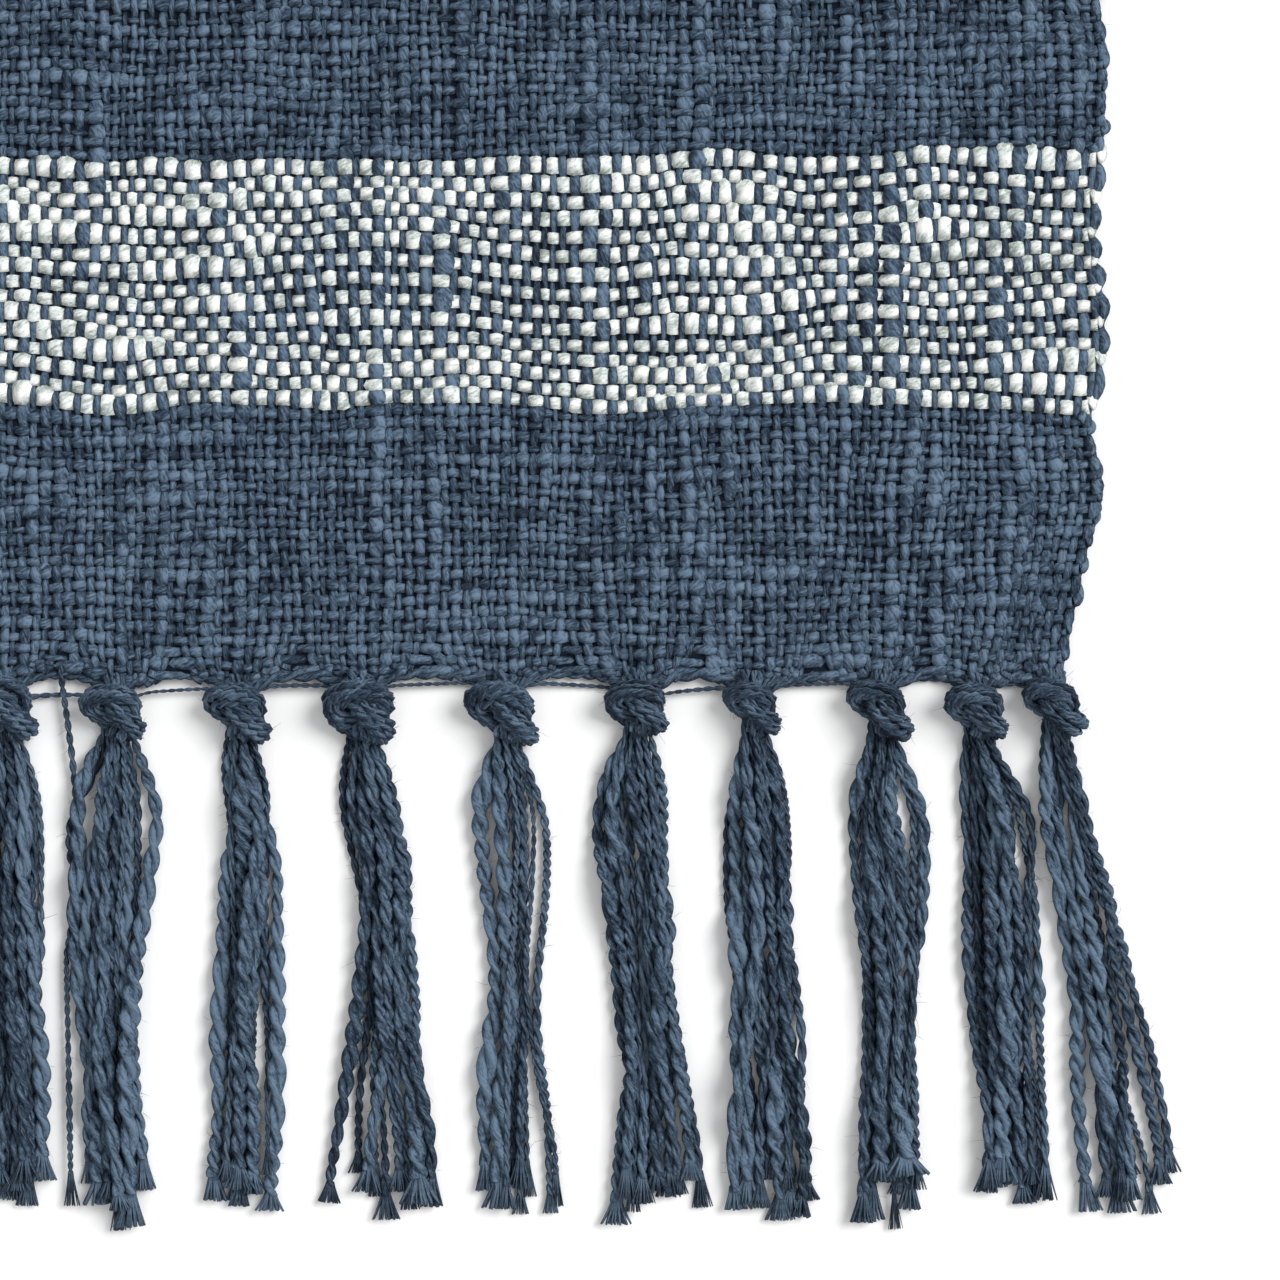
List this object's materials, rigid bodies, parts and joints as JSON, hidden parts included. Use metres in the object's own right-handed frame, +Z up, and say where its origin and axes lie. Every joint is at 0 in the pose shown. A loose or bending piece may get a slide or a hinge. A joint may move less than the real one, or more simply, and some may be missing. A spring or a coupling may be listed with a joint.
{
  "type": "runner rug",
  "caption": "Long narrow floor rug in coarse slub plain weave, with a pale stripe near each end and a knotted, tasselled fringe; its ends fold over and its tassels swing.",
  "frame": {"origin": "on the floor, under the centre of the rug", "axes": "+Z up out of the rug's face, +Y along its length towards the back fringe, +X across its width to the right selvedge"},
  "size_m": [0.5262, 1.7596, 0.011],
  "materials": {
    "denim_cotton": "matt slub cotton yarn, dyed denim blue",
    "stripe_cotton": "matt slub cotton, off-white weft over denim-blue warp"
  },
  "bodies": {
    "middle_panel": {"middle_field": "denim_cotton", "middle_right_selvedge": "denim_cotton", "middle_left_selvedge": "denim_cotton"},
    "front_panel": {"front_ground_field": "denim_cotton", "front_stripe_band": "stripe_cotton", "front_end_field": "denim_cotton", "front_right_selvedge": "denim_cotton", "front_left_selvedge": "denim_cotton", "front_knot_row": "denim_cotton"},
    "front_tassel_01": {"front_tassel_01": "denim_cotton"},
    "front_tassel_02": {"front_tassel_02": "denim_cotton"},
    "front_tassel_03": {"front_tassel_03": "denim_cotton"},
    "front_tassel_04": {"front_tassel_04": "denim_cotton"},
    "front_tassel_05": {"front_tassel_05": "denim_cotton"},
    "front_tassel_06": {"front_tassel_06": "denim_cotton"},
    "front_tassel_07": {"front_tassel_07": "denim_cotton"},
    "front_tassel_08": {"front_tassel_08": "denim_cotton"},
    "front_tassel_09": {"front_tassel_09": "denim_cotton"},
    "front_tassel_10": {"front_tassel_10": "denim_cotton"},
    "front_tassel_11": {"front_tassel_11": "denim_cotton"},
    "front_tassel_12": {"front_tassel_12": "denim_cotton"},
    "front_tassel_13": {"front_tassel_13": "denim_cotton"},
    "front_tassel_14": {"front_tassel_14": "denim_cotton"},
    "front_tassel_15": {"front_tassel_15": "denim_cotton"},
    "front_tassel_16": {"front_tassel_16": "denim_cotton"},
    "front_tassel_17": {"front_tassel_17": "denim_cotton"},
    "back_panel": {"back_ground_field": "denim_cotton", "back_stripe_band": "stripe_cotton", "back_end_field": "denim_cotton", "back_right_selvedge": "denim_cotton", "back_left_selvedge": "denim_cotton", "back_knot_row": "denim_cotton"},
    "back_tassel_01": {"back_tassel_01": "denim_cotton"},
    "back_tassel_02": {"back_tassel_02": "denim_cotton"},
    "back_tassel_03": {"back_tassel_03": "denim_cotton"},
    "back_tassel_04": {"back_tassel_04": "denim_cotton"},
    "back_tassel_05": {"back_tassel_05": "denim_cotton"},
    "back_tassel_06": {"back_tassel_06": "denim_cotton"},
    "back_tassel_07": {"back_tassel_07": "denim_cotton"},
    "back_tassel_08": {"back_tassel_08": "denim_cotton"},
    "back_tassel_09": {"back_tassel_09": "denim_cotton"},
    "back_tassel_10": {"back_tassel_10": "denim_cotton"},
    "back_tassel_11": {"back_tassel_11": "denim_cotton"},
    "back_tassel_12": {"back_tassel_12": "denim_cotton"},
    "back_tassel_13": {"back_tassel_13": "denim_cotton"},
    "back_tassel_14": {"back_tassel_14": "denim_cotton"},
    "back_tassel_15": {"back_tassel_15": "denim_cotton"},
    "back_tassel_16": {"back_tassel_16": "denim_cotton"},
    "back_tassel_17": {"back_tassel_17": "denim_cotton"}
  },
  "joints": [
    {"name": "front_fold", "type": "hinge", "parent": "middle_panel", "child": "front_panel", "pos_m": [0, -0.435, 0.005], "axis": [-1, 0, 0], "range_deg": [0, 150]},
    {"name": "front_tassel_01_swing", "type": "hinge", "parent": "front_panel", "child": "front_tassel_01", "pos_m": [0.2375, -0.7636, 0.0065], "axis": [-1, 0, 0], "range_deg": [0, 120]},
    {"name": "front_tassel_02_swing", "type": "hinge", "parent": "front_panel", "child": "front_tassel_02", "pos_m": [0.218, -0.7636, 0.0065], "axis": [-1, 0, 0], "range_deg": [0, 120]},
    {"name": "front_tassel_03_swing", "type": "hinge", "parent": "front_panel", "child": "front_tassel_03", "pos_m": [0.194, -0.7636, 0.0065], "axis": [-1, 0, 0], "range_deg": [0, 120]},
    {"name": "front_tassel_04_swing", "type": "hinge", "parent": "front_panel", "child": "front_tassel_04", "pos_m": [0.162, -0.7636, 0.0065], "axis": [-1, 0, 0], "range_deg": [0, 120]},
    {"name": "front_tassel_05_swing", "type": "hinge", "parent": "front_panel", "child": "front_tassel_05", "pos_m": [0.133, -0.7636, 0.0065], "axis": [-1, 0, 0], "range_deg": [0, 120]},
    {"name": "front_tassel_06_swing", "type": "hinge", "parent": "front_panel", "child": "front_tassel_06", "pos_m": [0.1, -0.7636, 0.0065], "axis": [-1, 0, 0], "range_deg": [0, 120]},
    {"name": "front_tassel_07_swing", "type": "hinge", "parent": "front_panel", "child": "front_tassel_07", "pos_m": [0.064, -0.7636, 0.0065], "axis": [-1, 0, 0], "range_deg": [0, 120]},
    {"name": "front_tassel_08_swing", "type": "hinge", "parent": "front_panel", "child": "front_tassel_08", "pos_m": [0.034, -0.7636, 0.0065], "axis": [-1, 0, 0], "range_deg": [0, 120]},
    {"name": "front_tassel_09_swing", "type": "hinge", "parent": "front_panel", "child": "front_tassel_09", "pos_m": [0.003, -0.7636, 0.0065], "axis": [-1, 0, 0], "range_deg": [0, 120]},
    {"name": "front_tassel_10_swing", "type": "hinge", "parent": "front_panel", "child": "front_tassel_10", "pos_m": [-0.025, -0.7636, 0.0065], "axis": [-1, 0, 0], "range_deg": [0, 120]},
    {"name": "front_tassel_11_swing", "type": "hinge", "parent": "front_panel", "child": "front_tassel_11", "pos_m": [-0.055, -0.7636, 0.0065], "axis": [-1, 0, 0], "range_deg": [0, 120]},
    {"name": "front_tassel_12_swing", "type": "hinge", "parent": "front_panel", "child": "front_tassel_12", "pos_m": [-0.087, -0.7636, 0.0065], "axis": [-1, 0, 0], "range_deg": [0, 120]},
    {"name": "front_tassel_13_swing", "type": "hinge", "parent": "front_panel", "child": "front_tassel_13", "pos_m": [-0.118, -0.7636, 0.0065], "axis": [-1, 0, 0], "range_deg": [0, 120]},
    {"name": "front_tassel_14_swing", "type": "hinge", "parent": "front_panel", "child": "front_tassel_14", "pos_m": [-0.151, -0.7636, 0.0065], "axis": [-1, 0, 0], "range_deg": [0, 120]},
    {"name": "front_tassel_15_swing", "type": "hinge", "parent": "front_panel", "child": "front_tassel_15", "pos_m": [-0.183, -0.7636, 0.0065], "axis": [-1, 0, 0], "range_deg": [0, 120]},
    {"name": "front_tassel_16_swing", "type": "hinge", "parent": "front_panel", "child": "front_tassel_16", "pos_m": [-0.213, -0.7636, 0.0065], "axis": [-1, 0, 0], "range_deg": [0, 120]},
    {"name": "front_tassel_17_swing", "type": "hinge", "parent": "front_panel", "child": "front_tassel_17", "pos_m": [-0.2375, -0.7636, 0.0065], "axis": [-1, 0, 0], "range_deg": [0, 120]},
    {"name": "back_fold", "type": "hinge", "parent": "middle_panel", "child": "back_panel", "pos_m": [0, 0.435, 0.005], "axis": [1, 0, 0], "range_deg": [0, 150]},
    {"name": "back_tassel_01_swing", "type": "hinge", "parent": "back_panel", "child": "back_tassel_01", "pos_m": [-0.2375, 0.7636, 0.0065], "axis": [1, 0, 0], "range_deg": [0, 120]},
    {"name": "back_tassel_02_swing", "type": "hinge", "parent": "back_panel", "child": "back_tassel_02", "pos_m": [-0.218, 0.7636, 0.0065], "axis": [1, 0, 0], "range_deg": [0, 120]},
    {"name": "back_tassel_03_swing", "type": "hinge", "parent": "back_panel", "child": "back_tassel_03", "pos_m": [-0.194, 0.7636, 0.0065], "axis": [1, 0, 0], "range_deg": [0, 120]},
    {"name": "back_tassel_04_swing", "type": "hinge", "parent": "back_panel", "child": "back_tassel_04", "pos_m": [-0.162, 0.7636, 0.0065], "axis": [1, 0, 0], "range_deg": [0, 120]},
    {"name": "back_tassel_05_swing", "type": "hinge", "parent": "back_panel", "child": "back_tassel_05", "pos_m": [-0.133, 0.7636, 0.0065], "axis": [1, 0, 0], "range_deg": [0, 120]},
    {"name": "back_tassel_06_swing", "type": "hinge", "parent": "back_panel", "child": "back_tassel_06", "pos_m": [-0.1, 0.7636, 0.0065], "axis": [1, 0, 0], "range_deg": [0, 120]},
    {"name": "back_tassel_07_swing", "type": "hinge", "parent": "back_panel", "child": "back_tassel_07", "pos_m": [-0.064, 0.7636, 0.0065], "axis": [1, 0, 0], "range_deg": [0, 120]},
    {"name": "back_tassel_08_swing", "type": "hinge", "parent": "back_panel", "child": "back_tassel_08", "pos_m": [-0.034, 0.7636, 0.0065], "axis": [1, 0, 0], "range_deg": [0, 120]},
    {"name": "back_tassel_09_swing", "type": "hinge", "parent": "back_panel", "child": "back_tassel_09", "pos_m": [-0.003, 0.7636, 0.0065], "axis": [1, 0, 0], "range_deg": [0, 120]},
    {"name": "back_tassel_10_swing", "type": "hinge", "parent": "back_panel", "child": "back_tassel_10", "pos_m": [0.025, 0.7636, 0.0065], "axis": [1, 0, 0], "range_deg": [0, 120]},
    {"name": "back_tassel_11_swing", "type": "hinge", "parent": "back_panel", "child": "back_tassel_11", "pos_m": [0.055, 0.7636, 0.0065], "axis": [1, 0, 0], "range_deg": [0, 120]},
    {"name": "back_tassel_12_swing", "type": "hinge", "parent": "back_panel", "child": "back_tassel_12", "pos_m": [0.087, 0.7636, 0.0065], "axis": [1, 0, 0], "range_deg": [0, 120]},
    {"name": "back_tassel_13_swing", "type": "hinge", "parent": "back_panel", "child": "back_tassel_13", "pos_m": [0.118, 0.7636, 0.0065], "axis": [1, 0, 0], "range_deg": [0, 120]},
    {"name": "back_tassel_14_swing", "type": "hinge", "parent": "back_panel", "child": "back_tassel_14", "pos_m": [0.151, 0.7636, 0.0065], "axis": [1, 0, 0], "range_deg": [0, 120]},
    {"name": "back_tassel_15_swing", "type": "hinge", "parent": "back_panel", "child": "back_tassel_15", "pos_m": [0.183, 0.7636, 0.0065], "axis": [1, 0, 0], "range_deg": [0, 120]},
    {"name": "back_tassel_16_swing", "type": "hinge", "parent": "back_panel", "child": "back_tassel_16", "pos_m": [0.213, 0.7636, 0.0065], "axis": [1, 0, 0], "range_deg": [0, 120]},
    {"name": "back_tassel_17_swing", "type": "hinge", "parent": "back_panel", "child": "back_tassel_17", "pos_m": [0.2375, 0.7636, 0.0065], "axis": [1, 0, 0], "range_deg": [0, 120]}
  ]
}
